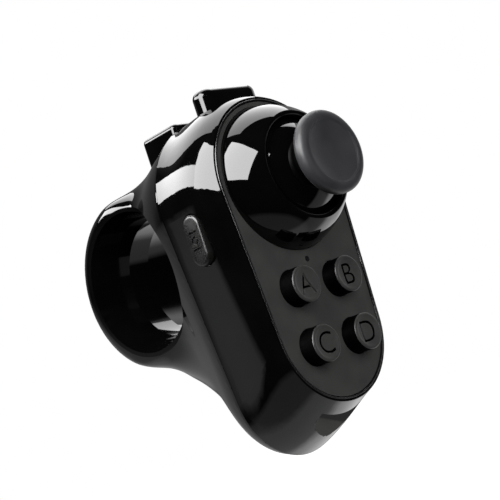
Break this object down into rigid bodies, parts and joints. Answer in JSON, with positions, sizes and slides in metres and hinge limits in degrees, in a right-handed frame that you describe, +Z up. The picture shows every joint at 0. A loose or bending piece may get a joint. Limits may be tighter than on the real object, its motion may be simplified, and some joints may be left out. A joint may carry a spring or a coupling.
{
  "type": "finger ring thumbstick controller",
  "caption": "Finger-ring hand controller: egg-shaped glossy body with a domed thumbstick, face buttons, a side key, two triggers and a finger loop behind.",
  "frame": {"origin": "centre of the finger bore", "axes": "+X along the finger bore to the right of the control face, +Y away from the control face, +Z up the face towards the thumbstick"},
  "size_m": [0.0346, 0.0656, 0.0679],
  "materials": {
    "gloss_shell": "high-gloss moulded ABS",
    "gloss_liner": "high-gloss moulded ABS",
    "gloss_dome": "polished black ABS",
    "gloss_trigger": "high-gloss moulded ABS",
    "matte_plate": "fine spark-eroded matte",
    "rubber_cap": "matte silicone rubber",
    "satin_key": "satin moulded plastic",
    "pom_post": "moulded acetal",
    "pom_black": "moulded acetal",
    "sensor_black": "moulded nylon",
    "switch_stem": "moulded nylon",
    "switch_can": "stamped cover",
    "tinned_can": "tin plated sheet",
    "bright_steel": "nickel plated",
    "black_steel": "black zinc",
    "board_green": "solder mask on glass epoxy",
    "led_lens": "clear epoxy lens",
    "clear_pipe": "smoked acrylic",
    "chip_epoxy": "moulded epoxy",
    "cell_foil": "laminated foil pouch"
  },
  "bodies": {
    "root": {"front_shell": "gloss_shell", "rear_shell": "gloss_shell", "ring_liner": "gloss_liner", "face_plate": "matte_plate", "stick_dome": "gloss_dome", "joystick_housing": "tinned_can", "tilt_sensor_side": "sensor_black", "tilt_sensor_top": "sensor_black", "key_switches": "switch_can", "main_board": "board_green", "board_screws": "bright_steel", "status_led": "led_lens", "light_pipe": "clear_pipe", "radio_shield": "tinned_can", "charge_chip": "chip_epoxy", "battery": "cell_foil", "usb_socket": "tinned_can", "usb_tongue": "sensor_black", "side_switch": "switch_can", "mode_switch": "tinned_can", "upper_switch": "switch_can", "lower_switch": "switch_can", "trigger_board": "board_green", "closing_screws": "black_steel"},
    "yoke": {"gimbal_yoke": "pom_black"},
    "stick": {"stick_cap": "rubber_cap", "stick_ball": "gloss_dome", "stick_stem": "pom_post", "stick_pin": "bright_steel"},
    "rocker": {"slot_rocker": "pom_black"},
    "key_a": {"button_a": "satin_key", "plunger_a": "switch_stem"},
    "key_b": {"button_b": "satin_key", "plunger_b": "switch_stem"},
    "key_c": {"button_c": "satin_key", "plunger_c": "switch_stem"},
    "key_d": {"button_d": "satin_key", "plunger_d": "switch_stem"},
    "side_press": {"side_key": "gloss_trigger", "side_plunger": "switch_stem"},
    "mode_slider": {"mode_knob": "satin_key"},
    "upper_press": {"upper_trigger": "gloss_trigger", "upper_plunger": "switch_stem"},
    "lower_press": {"lower_trigger": "gloss_trigger", "lower_plunger": "switch_stem"}
  },
  "joints": [
    {"name": "stick_tilt_up_down", "type": "hinge", "parent": "root", "child": "yoke", "pos_m": [0, -0.033, 0.0081], "axis": [1, 0, 0], "range_deg": [-18, 18], "stiffness_Nm_per_rad": 0.03},
    {"name": "stick_tilt_left_right", "type": "hinge", "parent": "yoke", "child": "stick", "pos_m": [0, -0.033, 0.0081], "axis": [0, 0, 1], "range_deg": [-18, 18], "stiffness_Nm_per_rad": 0.03},
    {"name": "rocker_swing", "type": "hinge", "parent": "root", "child": "rocker", "pos_m": [0, -0.033, 0.0081], "axis": [0, 0, 1], "range_deg": [-18, 18]},
    {"name": "key_a_press", "type": "slide", "parent": "root", "child": "key_a", "axis": [0, 1, 0], "range_m": [0, 0.0008], "stiffness_N_per_m": 1200, "springref_m": -0.0004},
    {"name": "key_b_press", "type": "slide", "parent": "root", "child": "key_b", "axis": [0, 1, 0], "range_m": [0, 0.0008], "stiffness_N_per_m": 1200, "springref_m": -0.0004},
    {"name": "key_c_press", "type": "slide", "parent": "root", "child": "key_c", "axis": [0, 1, 0], "range_m": [0, 0.0008], "stiffness_N_per_m": 1200, "springref_m": -0.0004},
    {"name": "key_d_press", "type": "slide", "parent": "root", "child": "key_d", "axis": [0, 1, 0], "range_m": [0, 0.0008], "stiffness_N_per_m": 1200, "springref_m": -0.0004},
    {"name": "side_key_press", "type": "slide", "parent": "root", "child": "side_press", "axis": [1, 0, 0], "range_m": [0, 0.0005], "stiffness_N_per_m": 1500, "springref_m": -0.0004},
    {"name": "mode_slide", "type": "slide", "parent": "root", "child": "mode_slider", "axis": [0, 0, 1], "range_m": [0, 0.002]},
    {"name": "upper_trigger_press", "type": "slide", "parent": "root", "child": "upper_press", "axis": [0, 0, -1], "range_m": [0, 0.001], "stiffness_N_per_m": 1200, "springref_m": -0.0005},
    {"name": "lower_trigger_press", "type": "slide", "parent": "root", "child": "lower_press", "axis": [0, 0, -1], "range_m": [0, 0.001], "stiffness_N_per_m": 1200, "springref_m": -0.0005}
  ],
  "couplings": [
    {"joint": "rocker_swing", "follows": "stick_tilt_left_right", "ratio": 1}
  ]
}
